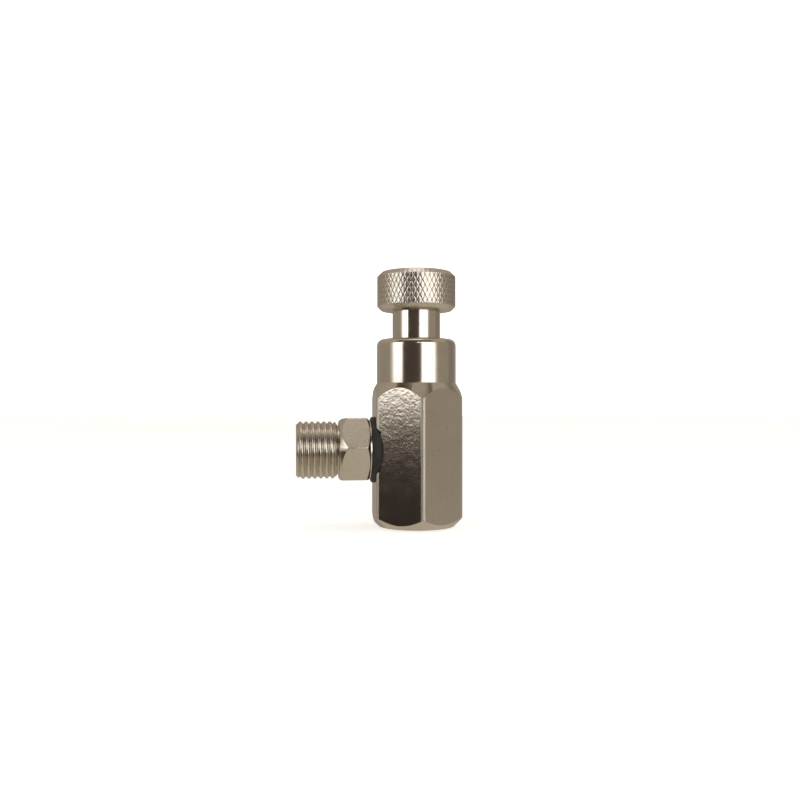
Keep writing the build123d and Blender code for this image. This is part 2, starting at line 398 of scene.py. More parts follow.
class Recipe:
    """A material's node tree, with short calls that add nodes and join them."""

    def __init__(self, name: str) -> None:
        """Starts an empty tree with its output and one principled shader."""
        self.material = bpy.data.materials.new(name)
        self.material.use_nodes = True
        self.tree = self.material.node_tree
        self.tree.nodes.clear()
        output = self.tree.nodes.new("ShaderNodeOutputMaterial")
        self.shader = self.tree.nodes.new("ShaderNodeBsdfPrincipled")
        self.tree.links.new(self.shader.outputs[0], output.inputs["Surface"])
        self.place = self.tree.nodes.new("ShaderNodeTexCoord").outputs["Object"]

    def feed(self, socket: bpy.types.NodeSocket, value: object) -> None:
        """Links a socket to another, or sets its value."""
        if isinstance(value, bpy.types.NodeSocket):
            self.tree.links.new(value, socket)
        else:
            socket.default_value = value

    def add(self, kind: str, settings: dict[str, object], inputs: dict[object, object]) -> bpy.types.Node:
        """Adds a node, sets its options and feeds its inputs by name or number."""
        node = self.tree.nodes.new(kind)
        for key, value in settings.items():
            setattr(node, key, value)
        for key, value in inputs.items():
            self.feed(node.inputs[key], value)
        return node

    def noise(self, scale: float, detail: float = 3.0, where: object = None) -> bpy.types.NodeSocket:
        """Cloudy noise with features of about 1 / scale metres."""
        inputs = {"Vector": where or self.place, "Scale": scale, "Detail": detail, "Roughness": 0.55}
        return self.add("ShaderNodeTexNoise", {}, inputs).outputs["Fac"]

    def sum(self, operation: str, first: object, second: object) -> bpy.types.NodeSocket:
        """One step of arithmetic."""
        return self.add("ShaderNodeMath", {"operation": operation}, {0: first, 1: second}).outputs[0]

    def spread(self, value: object, start: float, end: float, low: float, high: float) -> bpy.types.NodeSocket:
        """Carries the range from start to end over to the range from low to high, and holds it there."""
        inputs = {"Value": value, "From Min": start, "From Max": end, "To Min": low, "To Max": high}
        return self.add("ShaderNodeMapRange", {}, inputs).outputs[0]

    def between(self, share: object, first: object, second: object) -> bpy.types.NodeSocket:
        """A number between two others."""
        inputs = {0: share, 2: first, 3: second}
        return self.add("ShaderNodeMix", {"data_type": "FLOAT"}, inputs).outputs[0]

    def tint(self, share: object, first: object, second: object) -> bpy.types.NodeSocket:
        """A colour between two others."""
        first = (*first, 1.0) if isinstance(first, tuple) else first
        second = (*second, 1.0) if isinstance(second, tuple) else second
        inputs = {0: share, 6: first, 7: second}
        return self.add("ShaderNodeMix", {"data_type": "RGBA"}, inputs).outputs[2]

    def mark(self, name: str) -> bpy.types.NodeSocket:
        """One of the marks that the piece's surface carries."""
        return self.add("ShaderNodeAttribute", {"attribute_name": name}, {}).outputs["Fac"]

    def ring_place(self, line: Line) -> bpy.types.NodeSocket:
        """The pair (distance from the axis, distance along it), as turning marks need."""
        origin = (0.0, 0.0, 0.0) if line is Line.STEM else (0.0, 0.0, PORT_Z * MM)
        across = (1.0, 1.0, 0.0) if line is Line.STEM else (0.0, 1.0, 1.0)
        moved = self.add("ShaderNodeVectorMath", {"operation": "SUBTRACT"}, {0: self.place, 1: origin})
        flat = self.add("ShaderNodeVectorMath", {"operation": "MULTIPLY"}, {0: moved.outputs[0], 1: across})
        radius = self.add("ShaderNodeVectorMath", {"operation": "LENGTH"}, {0: flat.outputs[0]})
        split = self.add("ShaderNodeSeparateXYZ", {}, {0: moved.outputs[0]})
        along = split.outputs["Z" if line is Line.STEM else "X"]
        pair = self.add("ShaderNodeCombineXYZ", {}, {"X": radius.outputs["Value"], "Y": along})
        return pair.outputs[0]

    def bump(self, height: object, distance: float, under: object = None) -> bpy.types.NodeSocket:
        """Surface relief whose height of 1 stands for distance metres."""
        inputs = {"Height": height, "Distance": distance, "Strength": 1.0}
        if under is not None:
            inputs["Normal"] = under
        return self.add("ShaderNodeBump", {}, inputs).outputs[0]


@dataclass(frozen=True)
class MetalFinish:
    """Bare or plated metal, turned or drawn, with dirt and painted shade in its grooves and recesses.

    Sizes are in metres. bar_relief is the pitted, drawn skin of the flats; ring_relief the turning
    marks; wave_relief the slow unevenness under a polish. Beyond worn_r from the axis the bar's edges
    are rubbed matt; 0 leaves them as they are.
    """

    name: str
    light: Colour
    dark: Colour
    grime_and_shade: Colour
    line: Line = Line.STEM
    turned_roughness: float = 0.14
    bar_roughness: float = 0.26
    bar_relief: float = 0.0
    worn_r: float = 0.0
    ring_relief: float = 0.0000008
    wave_relief: float = 0.000004
    spots: float = 0.25

    def build(self) -> bpy.types.Material:
        """Makes the material.

        Returns:
            The material, with its colour, roughness and relief all varied over the surface.
        """
        recipe = Recipe(self.name)
        turned, hollow = recipe.mark("turned"), recipe.mark("hollow")
        cloud = recipe.noise(70.0, 4.0)
        smear = recipe.noise(320.0, 5.0)
        skin = recipe.tint(recipe.spread(cloud, 0.35, 0.65, 0.0, 1.0), self.dark, self.light)
        stain = recipe.spread(recipe.noise(1500.0, 2.0), 0.62, 0.75, 0.0, self.spots)
        skin = recipe.tint(stain, skin, self.grime_and_shade)
        # Grooves, thread roots, knurl crossings and bores marked hollow darken towards the near-black colour:
        # partly dirt, partly painted shade.
        dirt_and_shade = recipe.spread(hollow, 0.25, 1.0, 0.0, 0.85)
        dirt_and_shade = recipe.sum("MULTIPLY", dirt_and_shade, recipe.spread(smear, 0.3, 0.7, 0.7, 1.0))
        recipe.feed(recipe.shader.inputs["Base Color"], recipe.tint(dirt_and_shade, skin, self.grime_and_shade))
        recipe.shader.inputs["Metallic"].default_value = 1.0

        polish = recipe.between(turned, self.bar_roughness, self.turned_roughness)
        polish = recipe.sum("MULTIPLY", polish, recipe.spread(smear, 0.3, 0.7, 0.82, 1.25))
        if self.worn_r:
            axis_pair = recipe.add("ShaderNodeSeparateXYZ", {}, {0: recipe.ring_place(self.line)})
            worn = recipe.spread(axis_pair.outputs[0], self.worn_r, self.worn_r + 0.00015, 0.0, 0.34)
            polish = recipe.sum("ADD", polish, worn)
        rough = recipe.sum("ADD", polish, recipe.sum("MULTIPLY", dirt_and_shade, 0.35))
        recipe.feed(recipe.shader.inputs["Roughness"], rough)

        rings = recipe.noise(9000.0, 3.0, recipe.ring_place(self.line))
        relief = recipe.bump(recipe.sum("MULTIPLY", rings, turned), self.ring_relief)
        relief = recipe.bump(recipe.noise(160.0, 1.0), self.wave_relief, relief)
        if self.bar_relief:
            drawn = recipe.sum("SUBTRACT", 1.0, turned)
            lumps = recipe.noise(820.0, 1.5)
            pits = recipe.spread(recipe.noise(1700.0, 2.0), 0.25, 0.6, 0.0, 0.3)
            height = recipe.sum("MULTIPLY", recipe.sum("ADD", lumps, pits), drawn)
            relief = recipe.bump(height, self.bar_relief, relief)
        recipe.feed(recipe.shader.inputs["Normal"], relief)
        return recipe.material


@dataclass(frozen=True)
class SoftFinish:
    """Moulded rubber or plastic: matt, faintly grained and dusty. Sizes are in metres."""

    name: str
    light: Colour
    dark: Colour
    roughness: float
    grain: float
    grain_relief: float
    sheen: float = 0.0

    def build(self) -> bpy.types.Material:
        """Makes the material, with mottled colour, uneven gloss and a fine grain."""
        recipe = Recipe(self.name)
        mottle = recipe.spread(recipe.noise(420.0, 5.0), 0.3, 0.7, 0.0, 1.0)
        recipe.feed(recipe.shader.inputs["Base Color"], recipe.tint(mottle, self.dark, self.light))
        gloss = recipe.spread(recipe.noise(900.0, 3.0), 0.3, 0.7, self.roughness * 0.85, self.roughness * 1.15)
        recipe.feed(recipe.shader.inputs["Roughness"], gloss)
        recipe.shader.inputs["Sheen Weight"].default_value = self.sheen
        relief = recipe.bump(recipe.noise(self.grain, 4.0), self.grain_relief)
        recipe.feed(recipe.shader.inputs["Normal"], relief)
        return recipe.material


# The third colour tints stains, and darkens grooves and recesses as dirt and painted shade.
NICKEL = {"light": (0.69, 0.63, 0.55), "dark": (0.63, 0.57, 0.49), "grime_and_shade": (0.09, 0.07, 0.05)}


@dataclass
class Finishes:
    """Every material of the valve, made once and handed out by name of the record's slot."""

    recipes: dict[str, MetalFinish | SoftFinish] = field(
        default_factory=lambda: {
            "body_nickel": MetalFinish(
                "satin_nickel_bar", **NICKEL, bar_roughness=0.12, bar_relief=0.000018, worn_r=0.01155
            ),
            "nipple_nickel": MetalFinish(
                "nickel_fitting", **NICKEL, line=Line.OUTLET, turned_roughness=0.2, bar_relief=0.000008
            ),
            "knob_nickel": MetalFinish("nickel_knurl", **NICKEL, turned_roughness=0.26),
            "spindle_nickel": MetalFinish("polished_nickel", **NICKEL, turned_roughness=0.12),
            "stainless": MetalFinish(
                "stainless_steel", (0.62, 0.60, 0.58), (0.55, 0.53, 0.51), (0.12, 0.1, 0.08), turned_roughness=0.22
            ),
            "spring_steel": MetalFinish(
                "spring_steel", (0.30, 0.29, 0.28), (0.22, 0.21, 0.21), (0.05, 0.04, 0.03), turned_roughness=0.34
            ),
            "screw_steel": MetalFinish(
                "zinc_plated_steel", (0.60, 0.61, 0.62), (0.50, 0.51, 0.52), (0.1, 0.09, 0.08), turned_roughness=0.3
            ),
            "bare_brass": MetalFinish(
                "bare_brass", (0.80, 0.62, 0.32), (0.70, 0.50, 0.24), (0.16, 0.09, 0.03), turned_roughness=0.24
            ),
            "black_rubber": SoftFinish(
                "black_rubber", (0.030, 0.029, 0.028), (0.016, 0.016, 0.016), 0.62, 5200.0, 0.00002, 0.1
            ),
            "white_ptfe": SoftFinish("white_ptfe", (0.84, 0.84, 0.81), (0.76, 0.76, 0.72), 0.42, 3800.0, 0.000008),
        }
    )
    made: dict[str, bpy.types.Material] = field(default_factory=dict)

    def material(self, slot: str) -> bpy.types.Material:
        """The material of one of the record's slots."""
        if slot not in self.made:
            self.made[slot] = self.recipes[slot].build()
        return self.made[slot]


@dataclass
class Workshop:
    """Finishes pieces: shades them, dresses them and ties them to the frame."""

    finishes: Finishes
    count: int = 0

    def finish(self, piece: bpy.types.Object, node: str, body: Body, slot: str) -> bpy.types.Object:
        """Dresses a piece that stands for a CAD node.

        Args:
            piece: the new mesh object.
            node: the CAD node that it replaces.
            body: the CAD body that it rides on.
            slot: the record's material slot.

        Returns:
            The same piece.
        """
        mesh = piece.data
        mesh.polygons.foreach_set("use_smooth", np.ones(len(mesh.polygons), bool))
        mesh.set_sharp_from_angle(angle=SHARP_ANGLE)
        even = piece.modifiers.new("even_shading", "WEIGHTED_NORMAL")
        even.keep_sharp = True
        mesh.materials.clear()
        mesh.materials.append(self.finishes.material(slot))
        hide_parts(node)
        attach(piece, body.value)
        self.count += 1
        log.info("%-24s %7d faces, on %s", piece.name, len(mesh.polygons), body.value)
        return piece

    def turn(
        self, node: str, corners: Sequence[Corner], body: Body, slot: str, columns: int = 128, steps: int = 4
    ) -> bpy.types.Object:
        """Makes and dresses a plain turned piece on the stem axis."""
        rows = outline_rows(corners, columns + 1, steps)
        piece = build_mesh(f"{node}_piece", rows, Sweep(ring_angles(columns)), on_stem)
        return self.finish(piece, node, body, slot)


# ---- the valve body and what is sealed in it ----


@dataclass
class ValveBody:
    """Hexagon bar body with its base chamfer, turned shoulder, bonnet, ports and stem bores."""

    shop: Workshop
    extent: Extent = field(default_factory=lambda: Extent.of("valve_body"))
    edge_rounding: float = 0.8
    base_face_r: float = 9.0
    shoulder_z: float = 34.8
    shoulder_slope: float = math.radians(60)
    bonnet_r: float = 9.6
    bonnet_rounding: float = 1.8
    inlet_thread: Thread = Thread(pitch=1.411, depth=0.8, low=0.0, high=11.2, samples=12)
    inlet_minor_r: float = 6.1
    inlet_mouth_r: float = 6.85
    inlet_depth: float = 11.5
    seat_pocket: tuple[float, float] = (4.6, 15.3)
    chamber: tuple[float, float] = (4.0, 22.8)
    screw_bore: tuple[float, float] = (4.9, 31.6)
    flange_bore: tuple[float, float] = (6.8, 38.6)
    packing_bore: tuple[float, float] = (7.2, 42.6)
    gland_r: float = 7.6
    passage_r: float = 3.0
    side_hole_r: float = 4.6
    side_hole_end: float = 5.2
    spotface_r: float = 8.0
    spotface_depth: float = 1.0

    @property
    def apothem(self) -> float:
        """Distance from the stem axis to a flat."""
        return float(self.extent.high[0])

    def outer(self, hexagon: Array) -> list[Corner]:
        """Outside of the body, from the base face up to the mouth of the gland bore."""
        top = float(self.extent.high[2])
        chamfer_z = hexagon - self.base_face_r
        shoulder = self.shoulder_z - (hexagon - self.bonnet_r) * math.tan(self.shoulder_slope)
        return [
            Corner(self.base_face_r, 0.0, 0.25),
            Corner(hexagon, chamfer_z, 0.35, turned=0.0),
            Corner(hexagon, shoulder, 0.35),
            Corner(self.bonnet_r, self.shoulder_z, 0.3),
            Corner(self.bonnet_r, top, self.bonnet_rounding),
            Corner(self.gland_r, top, 0.15, hollow=0.3),
        ]

    def bores(self) -> list[Corner]:
        """Steps of the stem bore, from the gland down to the blind end of the inlet thread."""
        steps = [(self.gland_r, self.packing_bore[1])]
        for bore, below in (
            (self.packing_bore[0], self.flange_bore[1]),
            (self.flange_bore[0], self.screw_bore[1]),
            (self.screw_bore[0], self.chamber[1]),
            (self.chamber[0], self.seat_pocket[1]),
            (self.seat_pocket[0], self.inlet_depth),
        ):
            steps += [(bore, steps[-1][1]), (bore, below)]
        steps.append((self.inlet_minor_r, self.inlet_depth))
        return [Corner(radius, height, 0.0, hollow=0.35) for radius, height in steps]

    def inlet(self, angles: Array) -> Rows:
        """Female thread of the inlet.

        The radius is minor + depth times groove, fading out at the blind end, and never less than
        the 45 degree mouth.
        """
        thread = self.inlet_thread
        heights = thread.heights(angles)
        groove = thread.groove(heights, angles)
        fade = np.clip((thread.high - heights) / thread.pitch, 0.0, 1.0)
        radius = self.inlet_minor_r + thread.depth * groove * fade
        mouth = self.inlet_mouth_r - heights
        return constant_rows(np.maximum(radius, mouth), heights, 1.0, 0.2 + 0.6 * groove * fade).reversed()

    def side_cutter(self) -> bpy.types.Object:
        """Turned cutter for the outlet: passage, screwed hole and spotface."""
        face = self.apothem
        floor = face - self.spotface_depth
        corners = [
            Corner(0.0, 0.0),
            Corner(self.passage_r, 0.0, hollow=0.5),
            Corner(self.passage_r, self.side_hole_end),
            Corner(self.side_hole_r, self.side_hole_end, hollow=0.5),
            Corner(self.side_hole_r, floor),
            Corner(self.spotface_r, floor, 0.2),
            Corner(self.spotface_r, face + 3.0),
            Corner(0.0, face + 3.0),
        ]
        rows = outline_rows(corners, 129, 2)
        return build_mesh("side_cutter", rows, Sweep(ring_angles(128)), on_outlet)

    def build(self) -> bpy.types.Object:
        """Makes the body and cuts the outlet into its side."""
        angles = hexagon_angles(self.apothem, self.edge_rounding, arc=6, flat=44)
        hexagon = hexagon_radius(angles, self.apothem, self.edge_rounding)
        outside = outline_rows(self.outer(hexagon) + self.bores(), len(angles), 4)
        rows = stacked(outside, self.inlet(angles))
        piece = build_mesh("valve_body_piece", rows, Sweep(angles), on_stem)
        carve(piece, self.side_cutter())
        return self.shop.finish(piece, "valve_body", Body.VALVE, "body_nickel")


@dataclass
class Seat:
    """Pressed-in seat insert with its O-ring."""

    shop: Workshop
    extent: Extent = field(default_factory=lambda: Extent.of("seat_insert"))
    ring: Extent = field(default_factory=lambda: Extent.of("seat_o_ring"))
    orifice_r: float = 1.6
    lip_drop: float = 0.7
    lip_r: float = 1.855
    groove_r: float = 3.44
    groove_z: tuple[float, float] = (12.8, 14.2)

    def build(self) -> None:
        """Makes the insert and the ring."""
        outer = float(self.extent.high[0])
        low, high = float(self.extent.low[2]), float(self.extent.high[2])
        self.shop.turn(
            "seat_insert",
            [
                Corner(self.orifice_r + 0.9, low, 0.05),
                Corner(outer, low, 0.15),
                Corner(outer, self.groove_z[0], 0.05),
                Corner(self.groove_r, self.groove_z[0], 0.1),
                Corner(self.groove_r, self.groove_z[1], 0.1),
                Corner(outer, self.groove_z[1], 0.05),
                Corner(outer, high, 0.12),
                Corner(self.lip_r, high, 0.04),
                Corner(self.orifice_r, high - self.lip_drop, 0.05, hollow=0.5),
                Corner(self.orifice_r, low + 0.9, 0.05),
            ],
            Body.VALVE,
            "stainless",
        )
        round_ring(self.shop, "seat_o_ring", self.ring)


def round_ring(shop: Workshop, node: str, extent: Extent) -> bpy.types.Object:
    """Rubber ring of round section: radius R + s cos t and height s sin t about its middle."""
    section = float(extent.high[2] - extent.low[2]) / 2
    middle_r = float(extent.high[0]) - section
    sweep = np.linspace(0, TURN, 25)[:-1]
    columns = ring_angles(96)
    radius = middle_r + section * np.cos(sweep)[:, None] + 0 * columns[None, :]
    height = float(extent.middle[2]) + section * np.sin(sweep)[:, None] + 0 * columns[None, :]
    piece = build_mesh(f"{node}_piece", constant_rows(radius, height, 1.0, 0.0), Sweep(columns), on_stem)
    return shop.finish(piece, node, Body.VALVE, "black_rubber")


def flat_ring(shop: Workshop, node: str, inner: float, slot: str, rounding: float = 0.08) -> bpy.types.Object:
    """Flat ring on the stem axis with eased edges; its outside and thickness come from the frame."""
    extent = Extent.of(node)
    outer = float(extent.high[0])
    low, high = float(extent.low[2]), float(extent.high[2])
    corners = [
        Corner(inner, low, rounding),
        Corner(outer, low, rounding),
        Corner(outer, high, rounding),
        Corner(inner, high, rounding),
    ]
    return shop.turn(node, corners, Body.VALVE, slot)


@dataclass
class Packing:
    """Washer, seals, gland nut and wiper in the bonnet."""

    shop: Workshop
    nut: Extent = field(default_factory=lambda: Extent.of("gland_nut"))
    bore_r: float = 5.9
    wiper_groove: tuple[float, float, float] = (6.6, 43.5, 44.3)
    slot_middle: float = 7.3
    slot_size: tuple[float, float, float] = (1.6, 1.4, 1.6)

    def gland_nut(self) -> None:
        """Gland nut with two spanner slots."""
        outer = float(self.nut.high[0])
        low, high = float(self.nut.low[2]), float(self.nut.high[2])
        groove_r, groove_low, groove_high = self.wiper_groove
        corners = [
            Corner(self.bore_r, low, 0.05),
            Corner(outer, low, 0.1),
            Corner(outer, high, 0.3),
            Corner(self.bore_r, high, 0.08, hollow=0.4),
            Corner(self.bore_r, groove_high),
            Corner(groove_r, groove_high),
            Corner(groove_r, groove_low),
            Corner(self.bore_r, groove_low),
        ]
        piece = build_mesh("gland_nut_piece", outline_rows(corners, 129, 3), Sweep(ring_angles(128)), on_stem)
        for side in (-1, 1):
            carve(piece, block("slot_cutter", (side * self.slot_middle, 0.0, high - 0.1), self.slot_size))
        self.shop.finish(piece, "gland_nut", Body.VALVE, "bare_brass")

    def build(self) -> None:
        """Makes every ring of the packing, from the lowest up."""
        flat_ring(self.shop, "packing_washer", self.bore_r, "bare_brass")
        round_ring(self.shop, "spindle_o_ring_lower", Extent.of("spindle_o_ring_lower"))
        flat_ring(self.shop, "backup_ring", 5.88, "white_ptfe")
        round_ring(self.shop, "spindle_o_ring_upper", Extent.of("spindle_o_ring_upper"))
        self.gland_nut()
        flat_ring(self.shop, "wiper_ring", 5.85, "white_ptfe", 0.12)


# ---- the outlet ----


@dataclass
class OutletNipple:
    """Male pipe nipple with its hexagon, and the rubber ring between the hexagon and the body."""

    shop: Workshop
    extent: Extent = field(default_factory=lambda: Extent.of("outlet_nipple"))
    ring: Extent = field(default_factory=lambda: Extent.of("nipple_seal_ring"))
    apothem: float = 7.35
    edge_rounding: float = 0.4
    turn: float = math.radians(6)
    hexagon_x: tuple[float, float] = (11.2, 18.9)
    washer_face: tuple[float, float] = (7.15, 11.7)
    inner_slope: float = 0.6
    outer_face_r: float = 6.9
    outer_slope: float = 1.2
    spigot_r: float = 4.55
    neck_r: float = 5.9
    thread_r: float = 6.86
    tip_chamfer: float = 0.8
    bore_r: float = 3.9
    bore_end: float = 12.0
    passage_r: float = 3.0
    pitch: float = 1.411
    depth: float = 0.5

    def inner_end(self, hexagon: Array, start: float) -> list[Corner]:
        """Outline from the inner end, over the hexagon, to the thread relief."""
        low, high = self.hexagon_x
        face_r, face_end = self.washer_face
        return [
            Corner(self.passage_r, start, 0.1),
            Corner(self.spigot_r - 0.4, start, 0.05),
            Corner(self.spigot_r, start + 0.4, 0.05),
            Corner(self.spigot_r, low, 0.05),
            Corner(face_r, low, 0.2),
            Corner(face_r, face_end, 0.05),
            Corner(hexagon, face_end + self.inner_slope * (hexagon - face_r), 0.15, turned=0.0),
            Corner(hexagon, high - self.outer_slope * (hexagon - self.outer_face_r), 0.25),
            Corner(self.outer_face_r, high, 0.2),
            Corner(self.neck_r, high, 0.25, hollow=0.3),
        ]

    def thread_rows(self, angles: Array, start: float, tip: float) -> Rows:
        """Male thread: crest radius less depth times groove, cut off by a cone at each end."""
        thread = Thread(self.pitch, self.depth, start, tip)
        heights = thread.heights(angles)
        groove = thread.groove(heights, angles)
        lead_in = self.neck_r + (heights - start) * 1.6
        lead_out = self.thread_r - self.tip_chamfer + (tip - heights)
        crest = np.minimum(self.thread_r, np.minimum(lead_in, lead_out))
        radius = np.minimum(self.thread_r - thread.depth * groove, crest)
        return constant_rows(radius, heights, 1.0, 0.5 * groove)

    def bore(self, tip: float) -> list[Corner]:
        """Outline of the bore, from the tip back to the inner end."""
        step = self.bore_r - self.passage_r
        return [
            Corner(self.thread_r - self.tip_chamfer, tip, 0.1),
            Corner(self.bore_r + 0.5, tip, 0.1),
            Corner(self.bore_r, tip - 0.5, 0.1, hollow=0.6),
            Corner(self.bore_r, self.bore_end, 0.0, hollow=0.6),
            Corner(self.passage_r, self.bore_end - step, 0.0, hollow=0.6),
        ]

    def seal_ring(self) -> None:
        """Thick rubber ring in the spotface, rounded towards the body."""
        start, end = -float(self.ring.high[0]), -float(self.ring.low[0])
        outer = float(self.ring.high[1])
        inner = self.spigot_r + 0.05
        corners = [
            Corner(inner, start, 0.1),
            Corner(outer, start, 0.9),
            Corner(outer, end, 0.35),
            Corner(inner, end, 0.1),
        ]
        piece = build_mesh("nipple_seal_ring_piece", outline_rows(corners, 129), Sweep(ring_angles(128)), on_outlet)
        self.shop.finish(piece, "nipple_seal_ring", Body.VALVE, "black_rubber")

    def build(self) -> None:
        """Makes the nipple and its ring."""
        start, tip = -float(self.extent.high[0]), -float(self.extent.low[0])
        angles = hexagon_angles(self.apothem, self.edge_rounding, arc=4, flat=28, turn=self.turn)
        hexagon = hexagon_radius(angles, self.apothem, self.edge_rounding, self.turn)
        relief = self.hexagon_x[1] + 0.35
        inner = outline_rows(
            self.inner_end(hexagon, start) + [Corner(self.neck_r, relief)], len(angles), 4
        )
        outer = outline_rows(self.bore(tip), len(angles), 3)
        rows = stacked(inner, self.thread_rows(angles, relief, tip), outer)
        piece = build_mesh("outlet_nipple_piece", rows, Sweep(angles), on_outlet)
        self.shop.finish(piece, "outlet_nipple", Body.VALVE, "nipple_nickel")
        self.seal_ring()


# ---- spindle, needle and knob ----


@dataclass
class Spindle:
    """Screwed spindle with its flange, polished neck, two-flat end and needle socket."""

    shop: Workshop
    extent: Extent = field(default_factory=lambda: Extent.of("spindle"))
    knob: Extent = field(default_factory=lambda: Extent.of("knob"))
    thread: Thread = Thread(pitch=1.0, depth=0.55, low=26.1, high=34.9, samples=12)
    thread_r: float = 4.85
    nose_r: float = 3.4
    flange: tuple[float, float, float] = (6.4, 34.9, 36.3)
    neck_r: float = 5.8
    spigot_r: float = 4.0
    spigot_flats: float = 6.6
    screw_hole: tuple[float, float] = (1.5, 49.5)
    socket_r: float = 2.3
    socket_top: float = 29.65
    clip_groove: tuple[float, float, float] = (2.7, 25.0, 25.7)

    def thread_rows(self, angles: Array) -> Rows:
        """Male thread with a 45 degree lead at its lower end."""
        heights = self.thread.heights(angles)
        groove = self.thread.groove(heights, angles)
        lead = self.thread_r - 0.4 + (heights - self.thread.low)
        radius = np.minimum(self.thread_r - self.thread.depth * groove, lead)
        return constant_rows(radius, heights, 1.0, 0.8 * groove)

    def build(self) -> None:
        """Makes the spindle."""
        angles = ring_angles(160)
        low, high = float(self.extent.low[2]), float(self.extent.high[2])
        knob_z = float(self.knob.low[2])
        flange_r, flange_low, flange_high = self.flange
        groove_r, groove_low, groove_high = self.clip_groove
        spigot = two_flat_radius(angles, self.spigot_r, self.spigot_flats)
        nose = [
            Corner(self.socket_r, low, 0.1),
            Corner(self.nose_r, low, 0.35),
            Corner(self.nose_r, self.thread.low, 0.1),
            Corner(self.thread_r - 0.4, self.thread.low),
        ]
        top = [
            Corner(self.thread_r, flange_low, 0.0),
            Corner(flange_r, flange_low, 0.15),
            Corner(flange_r, flange_high, 0.15),
            Corner(self.neck_r, flange_high, 0.1),
            Corner(self.neck_r, knob_z, 0.15),
            Corner(spigot, knob_z, 0.05),
            Corner(spigot, high, 0.2),
            Corner(self.screw_hole[0], high, 0.1, hollow=0.6),
            Corner(self.screw_hole[0], self.screw_hole[1], 0.0, hollow=0.6),
            Corner(0.0, self.screw_hole[1] - 0.8),
            Corner(0.0, self.socket_top),
            Corner(self.socket_r, self.socket_top, 0.1, hollow=0.3),
            Corner(self.socket_r, groove_high),
            Corner(groove_r, groove_high),
            Corner(groove_r, groove_low),
            Corner(self.socket_r, groove_low),
        ]
        columns = len(angles)
        rows = stacked(outline_rows(nose, columns), self.thread_rows(angles), outline_rows(top, columns))
        piece = build_mesh("spindle_piece", rows, Sweep(angles), on_stem)
        self.shop.finish(piece, "spindle", Body.SPINDLE, "spindle_nickel")


@dataclass
class NeedleSet:
    """Swivel needle, thrust ball and the spring clip that holds the needle in its socket."""

    shop: Workshop
    extent: Extent = field(default_factory=lambda: Extent.of("needle"))
    ball: Extent = field(default_factory=lambda: Extent.of("thrust_ball"))
    clip: Extent = field(default_factory=lambda: Extent.of("needle_clip"))
    tip_r: float = 0.4
    half_angle: float = math.radians(20)
    groove: tuple[float, float, float] = (1.75, 24.85, 25.85)
    clip_inner: float = 1.85
    clip_gap: float = math.radians(30)

    def needle(self) -> None:
        """Needle with its tapered tip, clip groove and ball cup."""
        radius = float(self.extent.high[0])
        low, high = float(self.extent.low[2]), float(self.extent.high[2])
        cone_top = low + (radius - self.tip_r) / math.tan(self.half_angle)
        ball_z = float(self.ball.middle[2])
        ball_r = float(self.ball.high[0]) + 0.02
        cup = np.linspace(math.asin(min(1.0, (ball_z - high) / ball_r)), math.pi / 2, 9)
        groove_r, groove_low, groove_high = self.groove
        self.shop.turn(
            "needle",
            [
                Corner(0.0, low),
                Corner(self.tip_r, low, 0.1),
                Corner(radius, cone_top, 0.3),
                Corner(radius, groove_low, 0.05),
                Corner(groove_r, groove_low, 0.05),
                Corner(groove_r, groove_high, 0.05),
                Corner(radius, groove_high, 0.05),
                Corner(radius, high, 0.15),
                *(Corner(ball_r * math.cos(t), ball_z - ball_r * math.sin(t)) for t in cup),
            ],
            Body.NEEDLE,
            "stainless",
            columns=96,
        )

    def thrust_ball(self) -> None:
        """Ball: radius r sin t and height r cos t about its middle."""
        size = float(self.ball.high[0])
        sweep = np.linspace(0, math.pi, 33)[:, None]
        columns = ring_angles(64)
        radius = size * np.sin(sweep) + 0 * columns[None, :]
        height = float(self.ball.middle[2]) + size * np.cos(sweep) + 0 * columns[None, :]
        rows = constant_rows(radius, height, 1.0, 0.0)
        piece = build_mesh("thrust_ball_piece", rows, Sweep(columns), on_stem)
        self.shop.finish(piece, "thrust_ball", Body.NEEDLE, "stainless")

    def needle_clip(self) -> None:
        """Open ring of flat spring wire."""
        outer = float(self.clip.high[1])
        low, high = float(self.clip.low[2]), float(self.clip.high[2])
        angles = np.linspace(self.clip_gap / 2, TURN - self.clip_gap / 2, 73)
        corners = [
            Corner(self.clip_inner, low, 0.1),
            Corner(outer, low, 0.1),
            Corner(outer, high, 0.1),
            Corner(self.clip_inner, high, 0.1),
        ]
        rows = outline_rows(corners, len(angles), 3)
        piece = build_mesh("needle_clip_piece", rows, Sweep(angles, open_ring=True), on_stem)
        self.shop.finish(piece, "needle_clip", Body.SPINDLE, "spring_steel")

    def build(self) -> None:
        """Makes the three pieces."""
        self.needle()
        self.thrust_ball()
        self.needle_clip()


